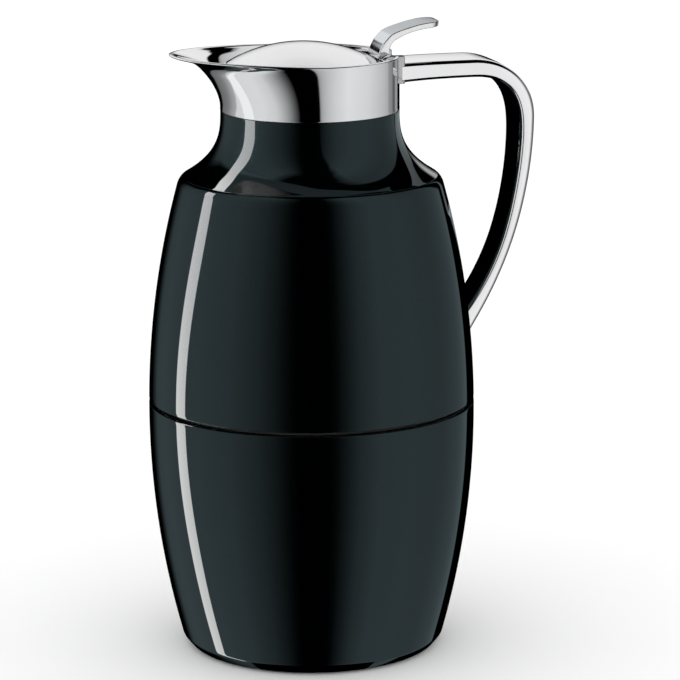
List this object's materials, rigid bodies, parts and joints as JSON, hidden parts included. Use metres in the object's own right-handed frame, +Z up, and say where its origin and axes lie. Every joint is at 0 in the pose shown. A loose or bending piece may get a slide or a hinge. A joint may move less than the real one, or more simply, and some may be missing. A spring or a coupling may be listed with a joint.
{
  "type": "insulated pouring jug",
  "caption": "Insulated serving jug with a two-part barrel body, broad-lipped collar, hinged domed lid with thumb lever, strap handle and vacuum glass flask.",
  "frame": {"origin": "point on the body's axis at the resting face, where the jug stands on the table", "axes": "+Z up along the body's axis, +X towards the handle, the pouring lip points to -X, +Y completes the right hand"},
  "size_m": [0.1688, 0.1422, 0.274],
  "materials": {
    "lacquer": "black lacquer with a fine metallic fleck, high gloss",
    "dark_plastic": "moulded, matt",
    "pale_plastic": "matt",
    "steel": "plain stainless",
    "satin_steel": "satin top, polished edges",
    "polished_chrome": "mirror polished",
    "rubber_pad": "matt black",
    "rubber_seal": "translucent grey silicone",
    "flask_glass": "clear, smooth"
  },
  "bodies": {
    "jug": {"upper_thread_ring": "dark_plastic", "seam_band": "rubber_pad", "upper_shell": "lacquer", "collar": "polished_chrome", "collar_insert": "dark_plastic", "hinge_block": "polished_chrome", "collar_lock_ring": "steel", "collar_screws": "steel", "neck_gasket": "rubber_seal", "pour_ring": "steel", "handle": "polished_chrome", "handle_top_screws": "steel", "foot_saddle": "dark_plastic", "foot_nut": "steel", "lid_pin": "steel", "lid_spring": "steel"},
    "lid": {"lid_cap": "polished_chrome", "lid_inner": "dark_plastic", "lid_foam": "pale_plastic", "lid_seal": "rubber_seal", "thumb_lever": "satin_steel", "lid_screws": "steel"},
    "flask": {"inner_bottle": "flask_glass", "outer_bottle": "flask_glass", "flask_spacers": "pale_plastic", "flask_cushion": "rubber_pad"},
    "cup": {"lower_shell": "lacquer", "base_plate": "dark_plastic", "base_screws": "steel", "foot_pad": "rubber_pad", "lower_thread_ring": "dark_plastic"}
  },
  "joints": [
    {"name": "lid_hinge", "type": "hinge", "parent": "jug", "child": "lid", "pos_m": [0.0326, 0, 0.2574], "axis": [0, 1, 0], "range_deg": [0, 30], "stiffness_Nm_per_rad": 0.02, "springref_deg": -51.57},
    {"name": "flask_drop", "type": "slide", "parent": "jug", "child": "flask", "axis": [0, 0, -1], "range_m": [0, 0.0091]},
    {"name": "cup_unscrew", "type": "hinge", "parent": "flask", "child": "cup", "pos_m": [0, 0, 0], "axis": [0, 0, -1], "range_deg": [0, 540]}
  ],
  "couplings": [
    {"joint": "flask_drop", "follows": "cup_unscrew", "m_per_rad": 0.00095493}
  ]
}
